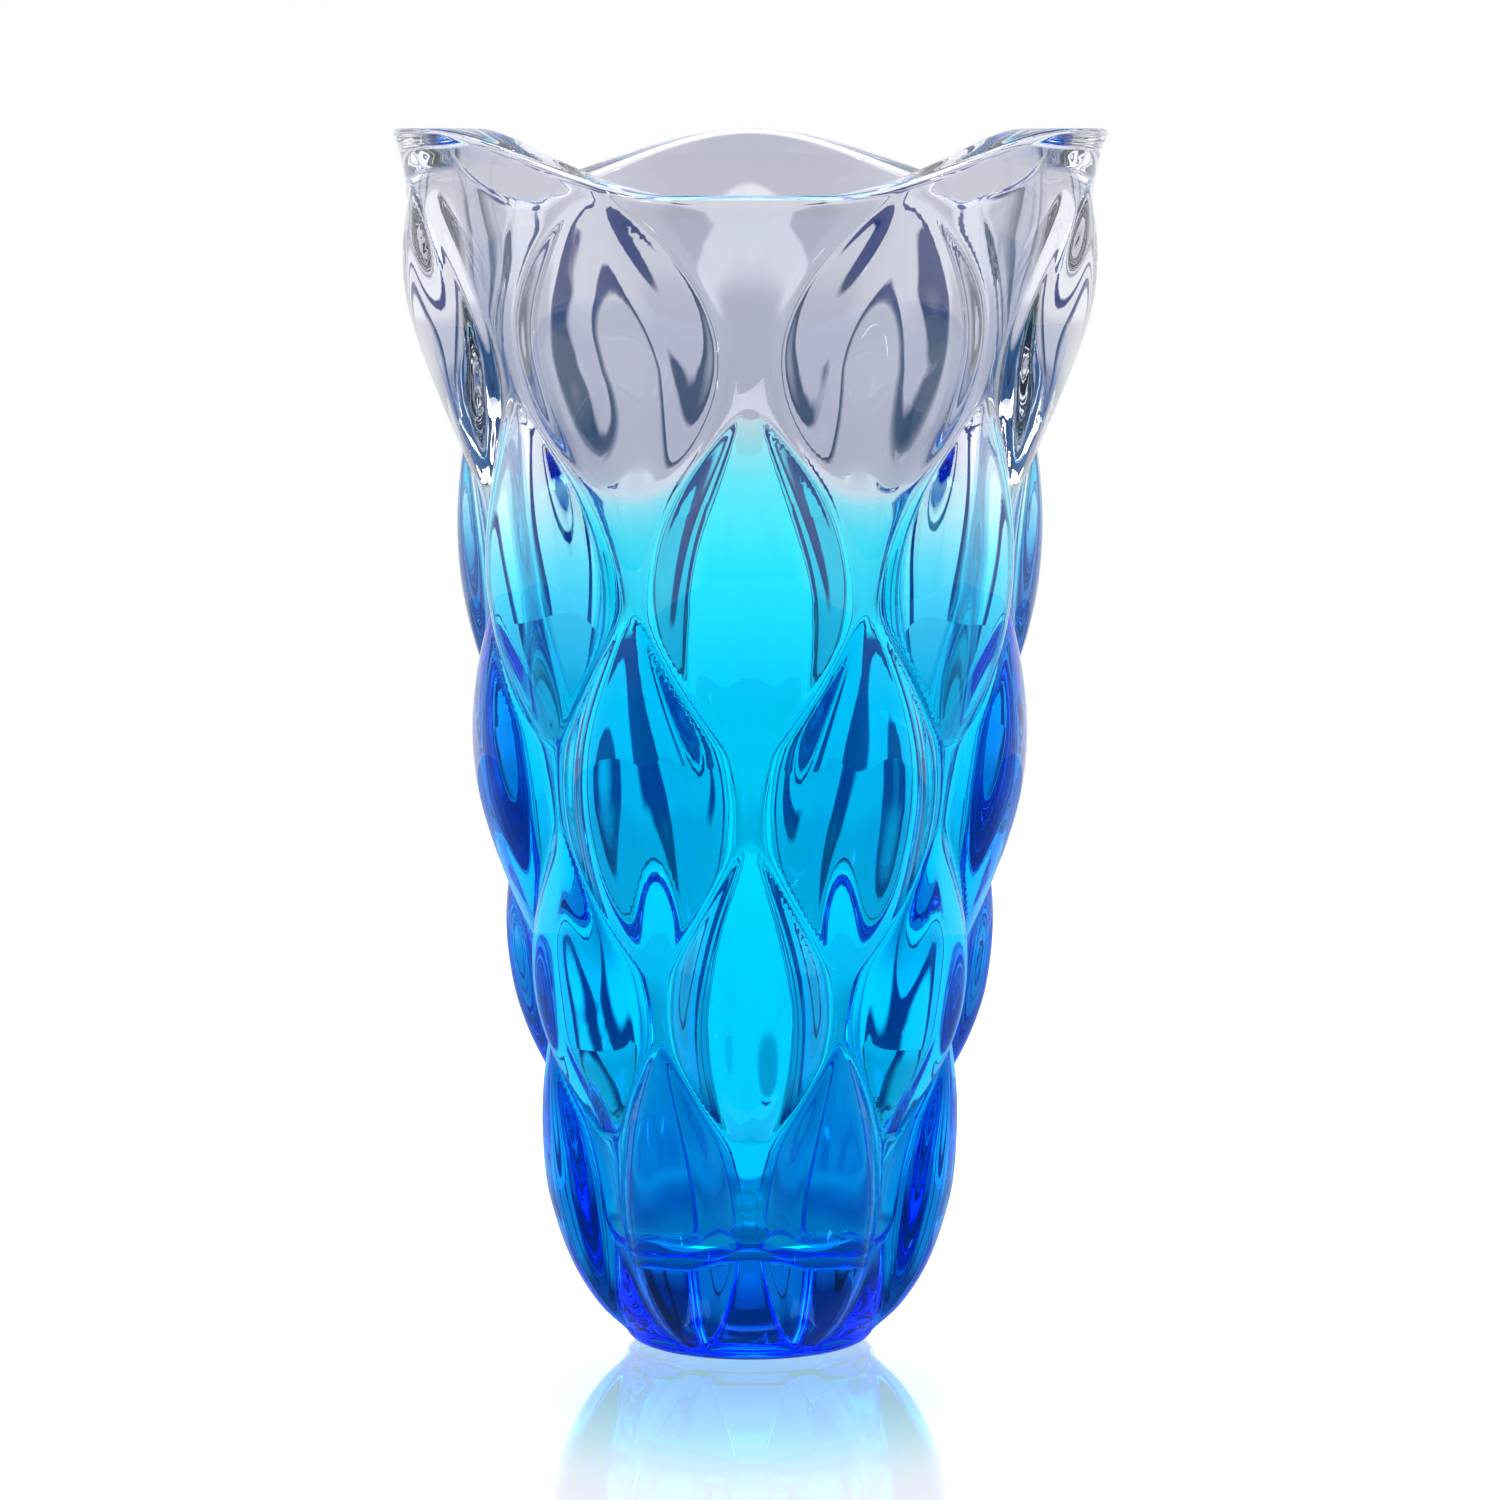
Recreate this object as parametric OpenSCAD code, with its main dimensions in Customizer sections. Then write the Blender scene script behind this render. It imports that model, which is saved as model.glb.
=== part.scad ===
// Pressed crystal vase: a thick-walled, tapering glass vessel whose outside carries five staggered
// rows of teardrop lobes, with a smooth conical cavity, a solid base and a waved lip.
// Frame: origin at the centre of the foot's flat face, +Z up, front of the vase towards -Y.
// Angles are measured from the front towards +X. All lengths are in millimetres.
// The glass is one casting: the nodes are its named regions, stacked face to face.

/* [Overall] */
// Height of the highest point of the lip
vase_h = 300; // [240:5:360]
// Radius of the flat face that the vase stands on
foot_r = 24.5; // [20:0.5:27]
// Outer radius of the lip where the rim is low
lip_r = 84.5; // [80:0.5:92]

/* [Lobes] */
// Number of lobes in one row around the vase
lobes_around = 7; // [5:1:9]
// How far the lobes stand out, as a share of their usual depth
relief = 1; // [0.4:0.1:1.2]
// Share of the half pitch over which a lobe runs out, the rest being the groove beside it
lobe_cover = 1; // [0.8:0.05:1]
// How much deeper a lobe is near its upper end than near its lower end
lobe_skew = 0.4; // [0:0.05:0.6]
// How flat the face of a lobe is across
lobe_face = 4; // [2:0.5:6]
// How softly the flanks of a lobe run into the groove beside it
lobe_flank = 4; // [1:0.5:6]
// Outline of a lobe's upper end, from 1 for a straight-sided point to 2 for an ellipse
lobe_point = 1.8; // [1:0.1:2]
// How gently the upper end of a lobe runs out into the glass above it
lobe_fade = 1.6; // [1:0.1:2]

/* [Rim] */
// Height of the rim's hills over its valleys
rim_wave = 15.5; // [0:0.5:20]
// Outward flare of the lip at the top of a hill
rim_flare = 3.5; // [0:0.5:6]
// Radius of the rounded edges of the lip
lip_round = 2; // [0.5:0.5:3]

/* [Cavity] */
// Height of the cavity's floor, which is the thickness of the solid base
floor_z = 26; // [18:1:32]
// Radius that the cavity's cone would have at floor height
cavity_floor_r = 32.5; // [26:0.5:34]
// Radius of the cavity at the mouth
cavity_mouth_r = 73; // [70:0.5:75]
// Radius of the rounded corner between the floor and the wall
cavity_corner = 12; // [4:1:16]

/* [Detail] */
// Facets across one lobe pitch
facets_per_lobe = 12; // [8:2:16]
// Height of one layer of facets
layer_h = 5; // [4:0.5:8]

/* [Hidden] */

// Heights are drawn for a vase 300 mm tall and stretched to vase_h.
design_h = 300;
stretch = vase_h / design_h;

// Outside radius of the glass between the lobes, as height and radius.
VALLEY = [
    [4, foot_r + 6.5], [10, 35.4], [20, 38.8], [36, 41], [52, 43.4], [75, 49.4], [98, 53.4], [122, 57.4],
    [148, 61], [172, 63.6], [199, 65.4], [219, 68.2], [240, 72.8], [262, 79.2], [280, 83.4], [300, lip_r]
];

// One row of lobes each, from the top: height of the lobe's widest level, reach above it, reach below it,
// depth, turn in half pitches.
ROWS = [
    [246, 41, 33, 6.3, 1],
    [189, 48, 35.5, 7.4, 0],
    [138, 50, 38.5, 7.5, 1],
    [87, 46, 31, 7.6, 0],
    [37, 45, 35.5, 9, 1]
];

// Heights at which the glass is divided into nodes, from the foot up.
foot_top = 4 * stretch;
base_top = floor_z;
row_5_top = 66 * stretch;
row_4_top = 114 * stretch;
row_3_top = 170 * stretch;
row_2_top = 219 * stretch;
row_1_top = 272 * stretch;

// The rim: low at the front and behind each shoulder, high at both sides and at the back.
RIM_RISE = [12, 60];
RIM_FALL = [88, 128.5];
rim_back = 180;

facets = facets_per_lobe * lobes_around;
pitch = 360 / lobes_around;
cone_top_z = 280 * stretch;
cone_top_r = cavity_mouth_r - 1;
round_steps = 3;
cavity_fn = 96;
cut = 1;

function ease(t) = let (c = min(max(t, 0), 1)) c * c * (3 - 2 * c);

function ramp(a, from, to) = ease((a - from) / (to - from));

// Slope of a curve through the points p at point i, from its neighbours.
function slope(p, i) = let (
    a = max(i - 1, 0),
    b = min(i + 1, len(p) - 1)
) (p[b][1] - p[a][1]) / (p[b][0] - p[a][0]);

function span_at(p, x, i = 0) = i >= len(p) - 2 || x < p[i + 1][0] ? i : span_at(p, x, i + 1);

// Smooth curve through the points p, read at x.
function curve(p, x) = let (
    i = span_at(p, x),
    w = p[i + 1][0] - p[i][0],
    t = (x - p[i][0]) / w
) (2 * t * t * t - 3 * t * t + 1) * p[i][1]
    + (t * t * t - 2 * t * t + t) * w * slope(p, i)
    + (3 * t * t - 2 * t * t * t) * p[i + 1][1]
    + (t * t * t - t * t) * w * slope(p, i + 1);

// Angle from a to the middle of the nearest lobe in a row turned by half_turns half pitches.
function off_lobe(a, half_turns) = let (
    b = a - half_turns * pitch / 2 + pitch / 2
) b - pitch * floor(b / pitch) - pitch / 2;

// How far a row's lobes stand out. u runs across a lobe and v along it, both 0 in its middle; spread is
// the lobe's half width at v, and t runs over it from 0 in the middle to 1 at the groove.
function lobe(row, a, z) = let (
    u = abs(off_lobe(a, row[4])) / (lobe_cover * pitch / 2),
    v = (z - row[0]) / (z > row[0] ? row[1] : row[2]),
    left = 1 - v * v
) left <= 0 ? 0 : let (
    spread = v > 0 ? 1 - pow(v, lobe_point) : sqrt(left),
    t = u / spread
) t >= 1 ? 0 : let (
    fade = v > 0 ? pow(left, lobe_fade) : left
) relief * row[3] * (1 + lobe_skew * v) * fade * pow(1 - pow(t, lobe_face), lobe_flank);

function rim_z(a) = let (
    b = abs(a - 360 * floor((a + 180) / 360)),
    side = ramp(b, RIM_RISE[0], RIM_RISE[1]) - ramp(b, RIM_FALL[0], RIM_FALL[1]),
    hill = side + ramp(b, RIM_FALL[1], rim_back)
) vase_h - rim_wave * (1 - hill);

// The lip flares out only where it rises over the rim's valleys.
function flare(z) = let (t = max(z - vase_h + rim_wave, 0) / max(rim_wave, 0.1)) rim_flare * t * t;

function outside_r(a, z) = let (h = z / stretch)
    curve(VALLEY, h) + max([for (row = ROWS) lobe(row, a, h)]) + flare(z);

function cavity_r(z) = z < cone_top_z
    ? cavity_floor_r + (cone_top_r - cavity_floor_r) * (z - floor_z) / (cone_top_z - floor_z)
    : cone_top_r + (cavity_mouth_r - cone_top_r) * (z - cone_top_z) / (vase_h - cone_top_z);

function polar(r, a, z) = [r * sin(a), -r * cos(a), z];

function ring(i) = 360 * i / facets;

// Triangles between two rings of points, the first of which starts at point s.
function strip(s) = [
    for (i = [0 : facets - 1]) let (j = (i + 1) % facets)
        for (t = [[s + i, s + facets + i, s + j], [s + j, s + facets + i, s + facets + j]]) t
];

// A solid slice of the lobed outside between two heights.
module lobed_slice(z0, z1) {
    layers = ceil((z1 - z0) / layer_h);
    points = [
        for (k = [0 : layers]) let (z = z0 + (z1 - z0) * k / layers)
            for (i = [0 : facets - 1]) polar(outside_r(ring(i), z), ring(i), z)
    ];
    sides = [for (k = [0 : layers - 1]) each strip(k * facets)];
    lower = [for (i = [0 : facets - 1]) i];
    upper = [for (i = [facets - 1 : -1 : 0]) layers * facets + i];
    polyhedron(points, concat([lower], [upper], sides));
}

// The smooth inside: a cone with a rounded floor, which opens into a nearly straight mouth.
module cavity() {
    lean = atan((cone_top_r - cavity_floor_r) / (cone_top_z - floor_z));
    corner_x = cavity_floor_r - cavity_corner * (1 - sin(lean)) / cos(lean);
    arc = [
        for (k = [0 : 6]) let (a = -90 + (90 - lean) * k / 6)
            [corner_x + cavity_corner * cos(a), floor_z + cavity_corner * (1 + sin(a))]
    ];
    rotate_extrude($fn = cavity_fn)
        polygon(concat(
            [[0, floor_z]],
            arc,
            [[cone_top_r, cone_top_z], [cavity_mouth_r, vase_h]],
            [[cavity_mouth_r, vase_h + cut], [0, vase_h + cut]]
        ));
}

module lobed_ring(z0, z1) {
    difference() {
        lobed_slice(z0, z1);
        cavity();
    }
}

// The disc with the flat face that the vase rests on, rounded up towards the base.
module foot() {
    rise = foot_top;
    out = curve(VALLEY, VALLEY[0][0]) - foot_r;
    side = [for (k = [0 : 4]) let (a = 90 * k / 4) [foot_r + out * sin(a), rise * (1 - cos(a))]];
    color([0.02, 0.16, 0.66])
        rotate_extrude($fn = cavity_fn)
            polygon(concat([[0, 0]], side, [[0, rise]]));
}

module base() {
    color([0.02, 0.25, 0.78])
        lobed_slice(foot_top, base_top);
}

module lobe_row_5() {
    color([0.01, 0.40, 0.88])
        lobed_ring(base_top, row_5_top);
}

module lobe_row_4() {
    color([0, 0.62, 0.93])
        lobed_ring(row_5_top, row_4_top);
}

module lobe_row_3() {
    color([0, 0.74, 0.96])
        lobed_ring(row_4_top, row_3_top);
}

module lobe_row_2() {
    color([0.10, 0.82, 0.97])
        lobed_ring(row_3_top, row_2_top);
}

module lobe_row_1() {
    color([0.68, 0.84, 0.90])
        lobed_ring(row_2_top, row_1_top);
}

// The waved lip. Its section runs up the outside, over the rounded edge and down the cavity wall.
module rim() {
    outer_layers = 6;
    function outer_point(a, t) = let (z = row_1_top + (rim_z(a) - lip_round - row_1_top) * t)
        polar(outside_r(a, z), a, z);
    function edge_point(a, t) = let (z = rim_z(a) - lip_round * (1 - sin(t)))
        polar(outside_r(a, z) - lip_round * (1 - cos(t)), a, z);
    function inner_edge_point(a, t) = let (z = rim_z(a) - lip_round * (1 - cos(t)))
        polar(cavity_r(z) + lip_round * (1 - sin(t)), a, z);
    turns = [for (i = [0 : facets - 1]) ring(i)];
    levels = concat(
        [for (k = [0 : outer_layers]) [for (a = turns) outer_point(a, k / outer_layers)]],
        [for (k = [1 : round_steps]) [for (a = turns) edge_point(a, 90 * k / round_steps)]],
        [for (k = [0 : round_steps]) [for (a = turns) inner_edge_point(a, 90 * k / round_steps)]],
        [[for (a = turns) polar(cavity_r(row_1_top), a, row_1_top)]]
    );
    count = len(levels);
    under = [
        for (i = [0 : facets - 1]) let (j = (i + 1) % facets, s = (count - 1) * facets)
            for (t = [[s + i, i, s + j], [s + j, i, j]]) t
    ];
    sides = [for (k = [0 : count - 2]) each strip(k * facets)];
    color([0.80, 0.82, 0.88])
        polyhedron([for (l = levels) each l], concat(sides, under));
}

foot();
base();
lobe_row_5();
lobe_row_4();
lobe_row_3();
lobe_row_2();
lobe_row_1();
rim();
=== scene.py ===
"""A pressed crystal vase in clear to deep blue glass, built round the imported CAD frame."""

import math

import bpy
import numpy as np
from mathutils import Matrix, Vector


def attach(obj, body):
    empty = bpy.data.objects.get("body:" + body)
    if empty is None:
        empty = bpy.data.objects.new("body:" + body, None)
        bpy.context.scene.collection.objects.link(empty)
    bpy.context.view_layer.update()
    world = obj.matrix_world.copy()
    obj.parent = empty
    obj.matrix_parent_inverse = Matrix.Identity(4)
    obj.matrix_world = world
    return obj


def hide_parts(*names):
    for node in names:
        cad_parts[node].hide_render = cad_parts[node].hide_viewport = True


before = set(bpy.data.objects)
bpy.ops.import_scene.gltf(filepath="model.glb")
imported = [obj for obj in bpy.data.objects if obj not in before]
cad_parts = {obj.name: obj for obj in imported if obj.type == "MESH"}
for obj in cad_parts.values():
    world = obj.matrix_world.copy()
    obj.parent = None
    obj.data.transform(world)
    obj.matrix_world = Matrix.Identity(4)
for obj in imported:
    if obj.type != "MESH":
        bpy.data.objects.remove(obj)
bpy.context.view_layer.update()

MM = 0.001

# --- The vase's shape, in millimetres, as in CAD but for LIP_ROUND, RIPPLE and MELD -----------

VASE_H = 300.0
FOOT_R = 24.5
FLOOR_Z = 26.0
RIM_WAVE = 15.5
RIM_FLARE = 3.5
LIP_ROUND = 2.2  # a little rounder than in CAD
# Angles from the front, in degrees: where the front dip ends, the hill runs, and the next dip lies.
DIP_END, HILL_START, HILL_END, SIDE_DIP, BACK = 12, 60, 88, 128.5, 180
LOBES = 7
PITCH = 360 / LOBES
LOBE_COVER = 1.0
LOBE_SKEW = 0.4
FACE_POWER = 4.0  # how flat a lobe's face is across before it turns down
FLANK_POWER = 4.0  # how softly its flanks run into the valley
LOBE_POINT = 1.8  # how pointed its upper end is: 2 is an ellipse, 1 is a straight-sided point
TOP_FADE = 1.6  # how gently its upper end runs out
RIPPLE = 0.3  # unevenness of the outside, which CAD leaves out
RIPPLE_WAVES = [(5, 9, 1), (8, -13, 2), (13, 7, 4)]  # waves round the vase, millimetres a radian, start
MELD = 8.0  # how sharply two lobes meet, where CAD has a plain crease: higher is sharper

# Outside radius of the glass between the lobes: height, radius.
VALLEY = np.array([
    (4, 31), (10, 35.4), (20, 38.8), (36, 41), (52, 43.4), (75, 49.4), (98, 53.4), (122, 57.4),
    (148, 61), (172, 63.6), (199, 65.4), (219, 68.2), (240, 72.8), (262, 79.2), (280, 83.4), (300, 84.5),
])
# Rows of lobes from the top: middle height, reach up, reach down, depth, turn in half pitches.
ROWS = [
    (246, 41, 33, 6.3, 1), (189, 48, 35.5, 7.4, 0), (138, 50, 38.5, 7.5, 1),
    (87, 46, 31, 7.6, 0), (37, 45, 35.5, 9.0, 1),
]

CONE_TOP_Z = 280.0
CONE_TOP_R = 72.0
CAVITY_MOUTH_R = 73.0
CAVITY_FLOOR_R = 32.5
CAVITY_CORNER = 12.0

# Mesh density: columns round the vase, and rings along each stretch of its section
COLUMNS = 336
FOOT_LEVELS = 10
FOOT_ROUND_LEVELS = 8
OUTER_LEVELS = 186
LIP_ROUND_LEVELS = 7
LIP_TOP_LEVELS = 5
INNER_LEVELS = 64
CORNER_LEVELS = 10
CAVITY_FLOOR_LEVELS = 8


def ease(t):
    t = np.clip(t, 0, 1)
    return t * t * (3 - 2 * t)


def ramp(a, start, end):
    return ease((a - start) / (end - start))


def curve(points, x):
    """A smooth curve through the points, read at x."""
    xs, ys = points[:, 0], points[:, 1]
    slopes = np.empty(len(xs))
    slopes[1:-1] = (ys[2:] - ys[:-2]) / (xs[2:] - xs[:-2])
    slopes[0] = (ys[1] - ys[0]) / (xs[1] - xs[0])
    slopes[-1] = (ys[-1] - ys[-2]) / (xs[-1] - xs[-2])
    i = np.clip(np.searchsorted(xs, x, side="right") - 1, 0, len(xs) - 2)
    w = xs[i + 1] - xs[i]
    t = (x - xs[i]) / w
    return (
        (2 * t**3 - 3 * t**2 + 1) * ys[i]
        + (t**3 - 2 * t**2 + t) * w * slopes[i]
        + (3 * t**2 - 2 * t**3) * ys[i + 1]
        + (t**3 - t**2) * w * slopes[i + 1]
    )


def ripple(a, z):
    """The slight unevenness of hand-pressed glass."""
    turn = np.radians(a)
    wander = sum(np.sin(waves * turn + z / mm + start) for waves, mm, start in RIPPLE_WAVES)
    return -RIPPLE * (len(RIPPLE_WAVES) + wander) / (2 * len(RIPPLE_WAVES))


def lobes(a, z):
    """How far the lobes stand out at angle a in degrees and height z."""
    total = 0
    for middle, up, down, depth, turn in ROWS:
        off = (a - turn * PITCH / 2 + PITCH / 2) % PITCH - PITCH / 2
        v = np.where(z > middle, (z - middle) / up, (z - middle) / down)
        left = np.maximum(1 - v**2, 1e-9)
        spread = np.where(v > 0, np.maximum(1 - np.abs(v) ** LOBE_POINT, 1e-4), np.sqrt(left))
        t = np.clip(np.abs(off) / (LOBE_COVER * PITCH / 2) / spread, 0, 1)
        fade = np.where(v > 0, left**TOP_FADE, left)
        height = depth * (1 + LOBE_SKEW * v) * fade * (1 - t**FACE_POWER) ** FLANK_POWER
        total = total + height**MELD
    return total ** (1 / MELD) + ripple(a, z)


def rim_z(a):
    """The height of the lip: dips at the front and both sides of the back, and a hill between each two."""
    b = np.abs((a + 180) % 360 - 180)
    hill = ramp(b, DIP_END, HILL_START) - ramp(b, HILL_END, SIDE_DIP) + ramp(b, SIDE_DIP, BACK)
    return VASE_H - RIM_WAVE * (1 - hill)


def flare(z):
    t = np.maximum(z - VASE_H + RIM_WAVE, 0) / RIM_WAVE
    return RIM_FLARE * t * t


def outside_r(a, z):
    return curve(VALLEY, z) + lobes(a, z) + flare(z)


def cavity_r(z):
    low = CAVITY_FLOOR_R + (CONE_TOP_R - CAVITY_FLOOR_R) * (z - FLOOR_Z) / (CONE_TOP_Z - FLOOR_Z)
    top = CONE_TOP_R + (CAVITY_MOUTH_R - CONE_TOP_R) * (z - CONE_TOP_Z) / (VASE_H - CONE_TOP_Z)
    return np.where(z < CONE_TOP_Z, low, top)


def vase_rings():
    """The vase as rings of (radius, height) at every column's angle.

    They run from the middle of the foot up the outside, over the lip and down to the cavity's floor.
    """
    a = np.arange(COLUMNS) * 360 / COLUMNS
    one = np.ones(COLUMNS)
    top = rim_z(a)
    rings = []
    for r in np.linspace(0, FOOT_R, FOOT_LEVELS)[1:]:
        rings.append((r * one, 0 * one))
    foot_round_h, foot_round_r = VALLEY[0]
    out = foot_round_r - FOOT_R
    for t in np.linspace(0, 90, FOOT_ROUND_LEVELS)[1:-1]:
        s = math.radians(t)
        rings.append((FOOT_R + out * math.sin(s) * one, foot_round_h * (1 - math.cos(s)) * one))
    for t in np.linspace(0, 1, OUTER_LEVELS):
        z = foot_round_h + (top - LIP_ROUND - foot_round_h) * t
        rings.append((outside_r(a, z), z))
    for t in np.linspace(0, 90, LIP_ROUND_LEVELS)[1:]:
        s = math.radians(t)
        z = top - LIP_ROUND * (1 - math.sin(s))
        rings.append((outside_r(a, z) - LIP_ROUND * (1 - math.cos(s)), z))
    outer_edge = rings[-1][0]
    inner_edge = cavity_r(top) + LIP_ROUND
    for t in np.linspace(0, 1, LIP_TOP_LEVELS)[1:-1]:
        rings.append((outer_edge + (inner_edge - outer_edge) * t, top))
    for t in np.linspace(0, 90, LIP_ROUND_LEVELS):
        s = math.radians(t)
        z = top - LIP_ROUND * (1 - math.cos(s))
        rings.append((cavity_r(z) + LIP_ROUND * (1 - math.sin(s)), z))
    lean = math.atan((CONE_TOP_R - CAVITY_FLOOR_R) / (CONE_TOP_Z - FLOOR_Z))
    corner_x = CAVITY_FLOOR_R - CAVITY_CORNER * (1 - math.sin(lean)) / math.cos(lean)
    corner_top = FLOOR_Z + CAVITY_CORNER * (1 + math.sin(-lean))
    for t in np.linspace(0, 1, INNER_LEVELS)[1:]:
        z = top - LIP_ROUND + (corner_top - top + LIP_ROUND) * t
        rings.append((cavity_r(z), z))
    for t in np.linspace(-lean, -math.pi / 2, CORNER_LEVELS)[1:]:
        z = FLOOR_Z + CAVITY_CORNER * (1 + math.sin(t))
        rings.append(((corner_x + CAVITY_CORNER * math.cos(t)) * one, z * one))
    for r in np.linspace(corner_x, 0, CAVITY_FLOOR_LEVELS)[1:-1]:
        rings.append((r * one, FLOOR_Z * one))
    return a, rings


def vase_mesh():
    a, rings = vase_rings()
    s, c = np.sin(np.radians(a)), np.cos(np.radians(a))
    points = [np.stack([r * s, -r * c, z], 1) for r, z in rings]
    points = np.concatenate([[[0, 0, 0]], *points, [[0, 0, FLOOR_Z]]]) * MM
    last = len(points) - 1
    faces = []
    for i in range(COLUMNS):
        j = (i + 1) % COLUMNS
        faces.append((0, 1 + j, 1 + i))
        for k in range(len(rings) - 1):
            lower, upper = 1 + k * COLUMNS, 1 + (k + 1) * COLUMNS
            faces.append((lower + i, lower + j, upper + j, upper + i))
        end = 1 + (len(rings) - 1) * COLUMNS
        faces.append((end + i, end + j, last))
    mesh = bpy.data.meshes.new("vase_glass")
    mesh.from_pydata(points.tolist(), [], faces)
    mesh.polygons.foreach_set("use_smooth", [True] * len(faces))
    mesh.update()
    return mesh


# --- Materials --------------------------------------------------------------------------------

STRIPS = 8
STRIPS_WIDER_AT_SIDES = 0.22


class Tree:
    """Short calls for building a node tree."""

    def __init__(self, owner):
        owner.use_nodes = True
        self.nodes, self.links = owner.node_tree.nodes, owner.node_tree.links

    def add(self, kind, **inputs):
        node = self.nodes.new(kind)
        for name, value in inputs.items():
            self.put(node.inputs[name], value)
        return node

    def put(self, socket, value):
        if isinstance(value, bpy.types.NodeSocket):
            self.links.new(value, socket)
        else:
            socket.default_value = value

    def math(self, operation, *values):
        node = self.nodes.new("ShaderNodeMath")
        node.operation = operation
        for socket, value in zip(node.inputs, values):
            self.put(socket, value)
        return node.outputs[0]

    def vector(self, operation, *values):
        """A vector operation; LENGTH gives one number, the others a vector."""
        node = self.nodes.new("ShaderNodeVectorMath")
        node.operation = operation
        for socket, value in zip(node.inputs, values):
            self.put(socket, value)
        return node.outputs["Value" if operation == "LENGTH" else "Vector"]

    def split(self, vector):
        """The X, Y and Z of a vector."""
        return list(self.add("ShaderNodeSeparateXYZ", Vector=vector).outputs)

    def rays(self):
        """The light path's outputs, and 1 for a ray that comes straight off a mirror."""
        path = self.add("ShaderNodeLightPath").outputs
        return path, self.math("SUBTRACT", path["Is Glossy Ray"], path["Is Transmission Ray"])

    def ramp(self, factor, stops, smooth="EASE"):
        """A colour ramp: stops are (place from 0 to 1, colour)."""
        node = self.nodes.new("ShaderNodeValToRGB")
        self.put(node.inputs[0], factor)
        node.color_ramp.interpolation = smooth
        elements = node.color_ramp.elements
        while len(elements) < len(stops):
            elements.new(0.5)
        for element, (place, colour) in zip(elements, stops):
            element.position = place
            element.color = (*colour, 1)
        return node.outputs["Color"]

    def mix(self, kind, factor, a, b):
        node = self.nodes.new("ShaderNodeMix")
        node.data_type = "RGBA"
        node.blend_type = kind
        self.put(node.inputs["Factor"], factor)
        self.put(node.inputs["A"], a)
        self.put(node.inputs["B"], b)
        return node.outputs["Result"]


def height_share(tree):
    """0 at the foot and 1 at the top of the vase."""
    z = tree.split(tree.add("ShaderNodeNewGeometry").outputs["Position"])[2]
    return tree.math("DIVIDE", z, VASE_H * MM)


def at_heights(stops):
    """Ramp stops from heights in millimetres."""
    return [(z / VASE_H, colour) for z, colour in stops]


def grey(value):
    return (value, value, value)


def glass_material():
    """Clear glass with a tint by height, which deepens where the glass is thick."""
    mat = bpy.data.materials.new("ombre_glass")
    tree = Tree(mat)
    shader = tree.nodes["Principled BSDF"]
    shader.inputs["Transmission Weight"].default_value = 1.0
    shader.inputs["Roughness"].default_value = 0.0
    shader.inputs["IOR"].default_value = 1.55
    height = height_share(tree)
    tint = tree.ramp(height, at_heights([
        (0, (0.0, 0.78, 0.97)),
        (60, (0.0, 0.86, 0.98)),
        (120, (0.0, 0.94, 0.99)),
        (165, (0.0, 0.94, 0.99)),
        (194, (0.14, 0.92, 0.98)),
        (221, (0.86, 0.87, 0.91)),
    ]), "LINEAR")
    tree.put(shader.inputs["Base Color"], tint)
    gleam = tree.ramp(height, at_heights([
        (165, (0.0, 0.55, 1.0)),
        (208, (1.0, 1.0, 1.0)),
    ]), "LINEAR")
    tree.put(shader.inputs["Specular Tint"], gleam)
    depth = tree.ramp(height, at_heights([
        (0, (0.0, 0.36, 0.96)),
        (90, (0.0, 0.44, 0.98)),
        (175, (0.0, 0.46, 0.98)),
        (208, (1.0, 1.0, 1.0)),
    ]), "LINEAR")
    inside = tree.add("ShaderNodeVolumeAbsorption")
    tree.put(inside.inputs["Color"], depth)
    inside.inputs["Density"].default_value = 28
    tree.put(tree.nodes["Material Output"].inputs["Volume"], inside.outputs[0])
    return mat


def strips(tree, way, width, soft, core, dark, pale):
    """Dark strips round the vase by compass direction, each with a pale core.

    They are narrow in front and behind, and wide at both sides. way is a direction, width is where a
    strip's dark ends and soft is how far it fades, both in shares of the way to the next strip.
    """
    x, y, _ = tree.split(way)
    turn = tree.math("MULTIPLY", tree.math("ARCTAN2", y, x), STRIPS)
    share = tree.math("MULTIPLY_ADD", tree.math("COSINE", turn), 0.5, 0.5)
    share = tree.math("MULTIPLY_ADD", tree.math("MULTIPLY", x, x), -STRIPS_WIDER_AT_SIDES, share)
    return tree.ramp(share, [
        (0.0, core), (0.02, core), (0.035, dark), (width, dark), (width + soft, pale), (1.0, pale),
    ], "LINEAR")


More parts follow.
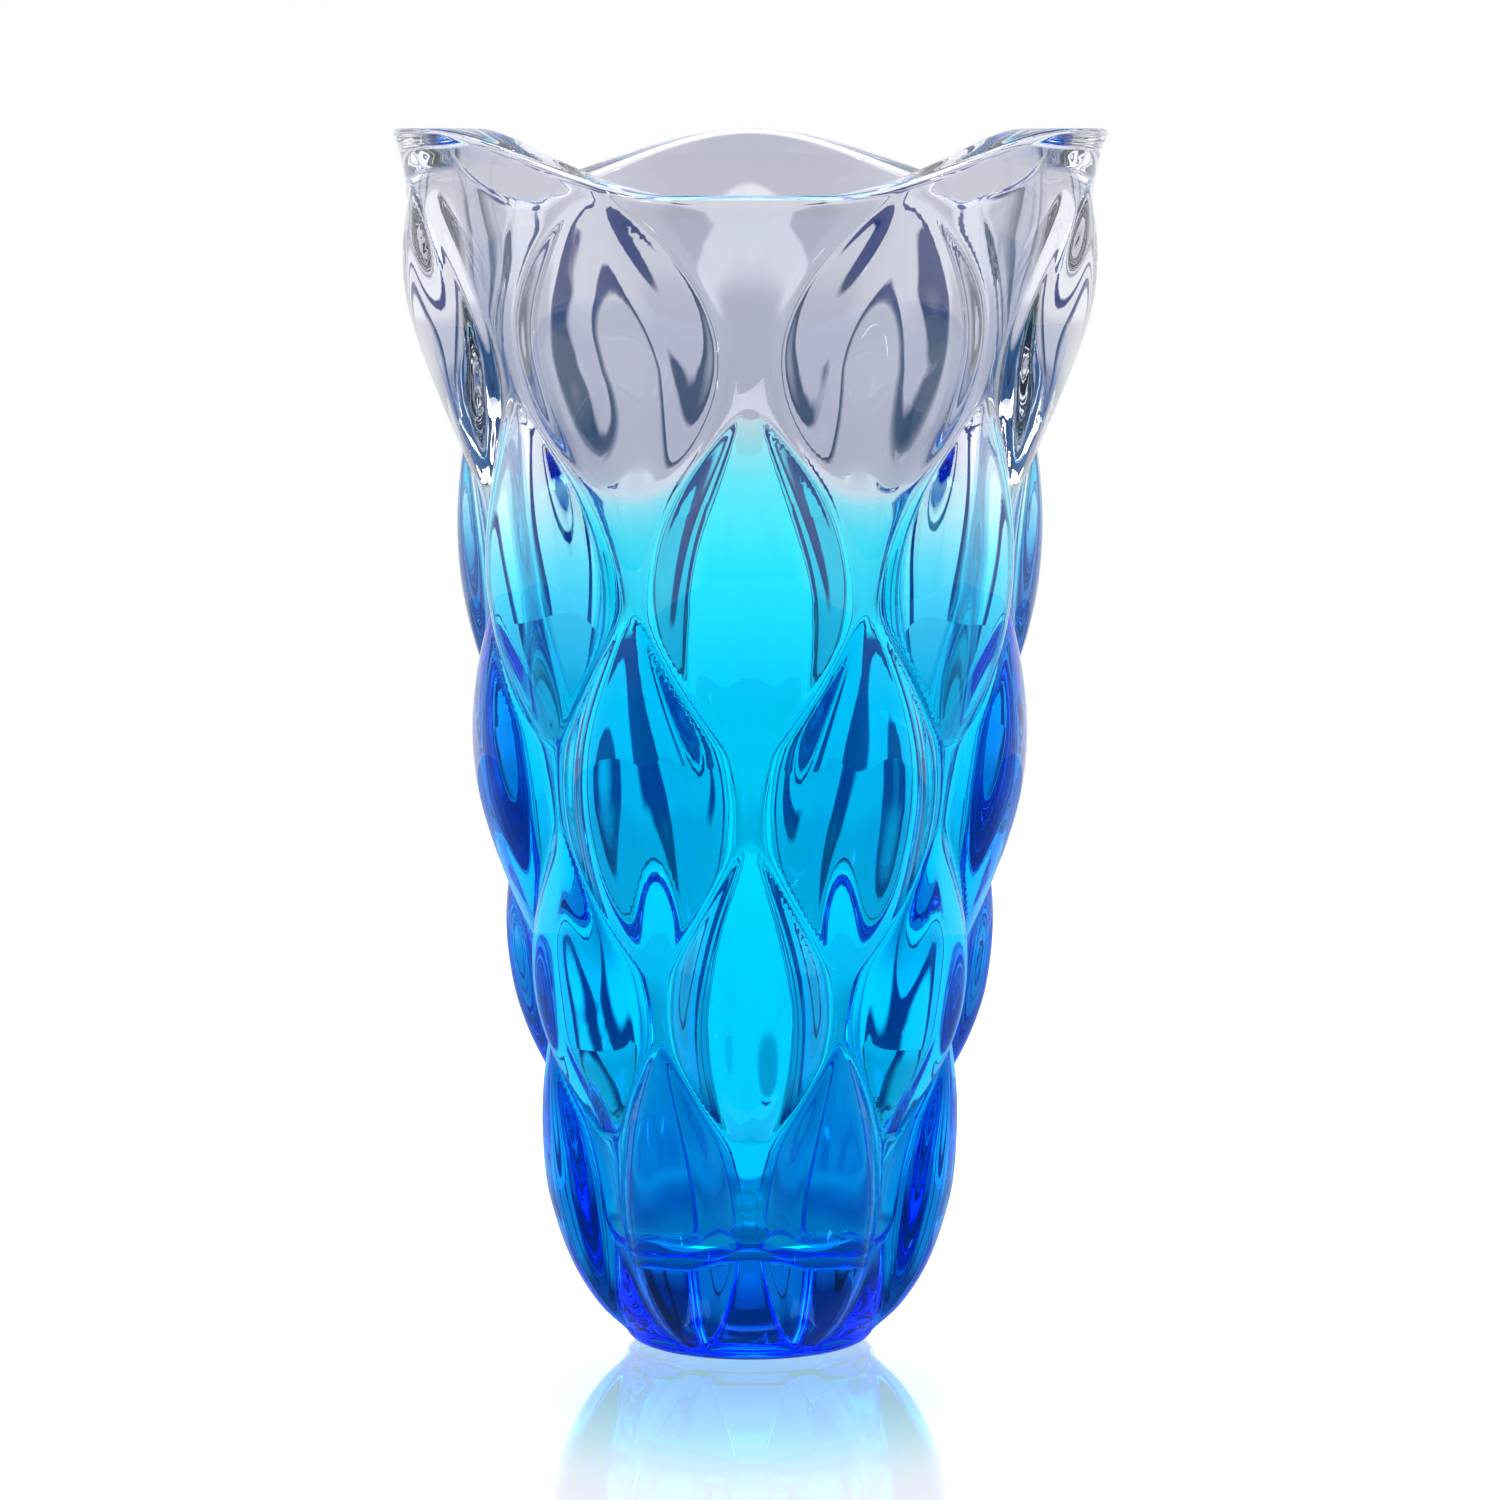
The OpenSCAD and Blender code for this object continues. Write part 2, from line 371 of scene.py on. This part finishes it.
def floor_material():
    """A pale, slightly glossy table with a painted cyan glow by the foot. Through the glass it shows
    painted shade, rings near the foot, then strips; in the glass's mirror reflections it is painted dark
    blue.
    """
    mat = bpy.data.materials.new("studio_floor")
    tree = Tree(mat)
    shader = tree.nodes["Principled BSDF"]
    place = tree.add("ShaderNodeNewGeometry").outputs["Position"]
    far = tree.vector("LENGTH", place)
    # white, with a painted cyan pool of light in front of the foot, as blue glass throws it; through the
    # metallic sheen it also tints the mirror image there
    painted_glow_place = tree.vector("MULTIPLY_ADD", place, (1.5, 1, 1), (0, 0.075, 0))
    plain = tree.ramp(tree.vector("LENGTH", painted_glow_place), [(0.035, (0.58, 0.97, 0.99)), (0.110, grey(0.92))])
    # painted shade: the glass sees the table darker near the foot, in dark and pale rings
    rings = tree.ramp(far, [
        (0.05, (0.42, 0.50, 0.60)),
        (0.09, (0.14, 0.20, 0.42)),
        (0.14, (0.33, 0.38, 0.56)),
        (0.20, (0.12, 0.16, 0.40)),
        (0.30, (0.38, 0.41, 0.55)),
    ])
    # painted shade: farther out the glass sees the table with dark strips, like the dark gaps in the
    # surroundings
    way = tree.vector("NORMALIZE", place)
    painted_shade_strips = strips(tree, way, 0.16, 0.08, (0.54, 0.54, 0.57), (0.005, 0.02, 0.12), (0.66, 0.66, 0.68))
    through = tree.mix("MIX", tree.ramp(far, [(0.16, grey(0)), (0.28, grey(1))]), rings, painted_shade_strips)
    path, mirror = tree.rays()
    seen = tree.mix("MIX", path["Is Transmission Ray"], plain, through)
    # painted shade: in a mirror reflection off the glass the table shows dark blue, not white
    tree.put(shader.inputs["Base Color"], tree.mix("MIX", mirror, seen, (0.20, 0.32, 0.60, 1)))
    # the mirror image is strongest at the foot
    sheen = tree.ramp(far, [(0.05, grey(0.74)), (0.16, grey(0.56)), (0.30, grey(0.10))])
    tree.put(shader.inputs["Metallic"], sheen)
    shader.inputs["Specular IOR Level"].default_value = 0.0
    shader.inputs["Roughness"].default_value = 0.04
    return mat


# --- Scene ------------------------------------------------------------------------------------

FLOOR_R = 0.95
FLOOR_SIDES = 96


def build_vase():
    vase = bpy.data.objects.new("vase_glass", vase_mesh())
    bpy.context.scene.collection.objects.link(vase)
    vase.data.materials.append(glass_material())
    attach(vase, "root")
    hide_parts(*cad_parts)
    # clear glass casts next to no shadow on the table
    vase.visible_shadow = False
    vase.visible_diffuse = False
    return vase


def build_floor():
    mesh = bpy.data.meshes.new("floor")
    turns = [2 * math.pi * i / FLOOR_SIDES for i in range(FLOOR_SIDES)]
    edge = [(FLOOR_R * math.cos(t), FLOOR_R * math.sin(t), 0) for t in turns]
    mesh.from_pydata(edge, [], [tuple(range(FLOOR_SIDES))])
    floor = bpy.data.objects.new("floor", mesh)
    floor.data.materials.append(floor_material())
    bpy.context.scene.collection.objects.link(floor)


def build_world():
    """White to the camera. The glass sees pale surroundings with dark strips, under a dark ceiling."""
    world = bpy.data.worlds.new("studio")
    bpy.context.scene.world = world
    tree = Tree(world)
    tree.nodes.clear()
    way = tree.add("ShaderNodeTexCoord").outputs["Generated"]
    _, y, z = tree.split(way)
    rise = tree.math("MULTIPLY_ADD", z, 0.5, 0.5)
    above = strips(tree, way, 0.07, 0.12, (0.66, 0.66, 0.76), (0.04, 0.075, 0.14), (0.66, 0.66, 0.73))
    below = strips(tree, way, 0.16, 0.08, (0.84, 0.84, 0.9), (0.008, 0.03, 0.20), (0.98, 0.98, 1.02))
    around = tree.mix("MIX", tree.ramp(rise, [(0.46, grey(1)), (0.50, grey(0))]), above, below)
    # the front is kept dim, so that its reflections don't veil the glass
    front = tree.math("MULTIPLY_ADD", y, 0.5, 0.5)
    near = tree.ramp(front, [(0.06, (0.05, 0.05, 0.06)), (0.20, grey(1))])
    level = tree.ramp(rise, [(0.5, grey(1)), (0.60, grey(0.95)), (0.67, (0.03, 0.12, 0.28))], "LINEAR")
    level = tree.mix("MULTIPLY", 1.0, level, near)
    through = tree.mix("MULTIPLY", 1.0, around, level)
    # a mirror image on the table or the glass shows a light ceiling
    ceiling = tree.ramp(rise, [(0.5, grey(1)), (0.62, grey(0.95)), (0.72, (0.62, 0.62, 0.64))])
    ceiling = tree.mix("MULTIPLY", 1.0, ceiling, near)
    path, mirror = tree.rays()
    seen = tree.mix("MIX", mirror, through, ceiling)
    plain = tree.math("MAXIMUM", path["Is Camera Ray"], path["Is Diffuse Ray"])
    light = tree.add("ShaderNodeBackground", Color=tree.mix("MIX", plain, seen, (1, 1, 1, 1)))
    tree.add("ShaderNodeOutputWorld", Surface=light.outputs[0])


def area_light(name, place, aim, size, power, shape="DISK"):
    """A lamp of the given size in metres and power in watts."""
    data = bpy.data.lights.new(name, "AREA")
    data.shape = shape
    data.size = size
    data.energy = power
    lamp = bpy.data.objects.new(name, data)
    lamp.location = place
    lamp.rotation_euler = (Vector(aim) - Vector(place)).to_track_quat("-Z", "Y").to_euler()
    bpy.context.scene.collection.objects.link(lamp)
    return lamp


def build_camera():
    """A long lens level with the rim, looking a little down at the middle of the vase."""
    distance, height, aim_z = 1.4, 0.3, 0.1475
    data = bpy.data.cameras.new("camera")
    data.sensor_width = 36
    data.lens = 137.04
    data.clip_end = 30
    camera = bpy.data.objects.new("camera", data)
    camera.location = (0, -distance, height)
    camera.rotation_euler = (Vector((0, 0, aim_z)) - camera.location).to_track_quat("-Z", "Y").to_euler()
    bpy.context.scene.collection.objects.link(camera)
    bpy.context.scene.camera = camera


build_camera()
build_vase()
build_floor()
build_world()
area_light("overhead", (0, 0, 1.9), (0, 0, 0), 1.6, 48, "SQUARE")
key = area_light("key", (-1.2, -1.6, 1.6), (0, 0, 0.15), 0.12, 6)
key.visible_diffuse = False
fill = area_light("fill", (1.4, -1.2, 1.3), (0, 0, 0.15), 0.1, 4)
fill.visible_diffuse = False

scene = bpy.context.scene
scene.view_settings.view_transform = "Standard"
scene.cycles.max_bounces = 32
scene.cycles.transmission_bounces = 32
scene.cycles.glossy_bounces = 12
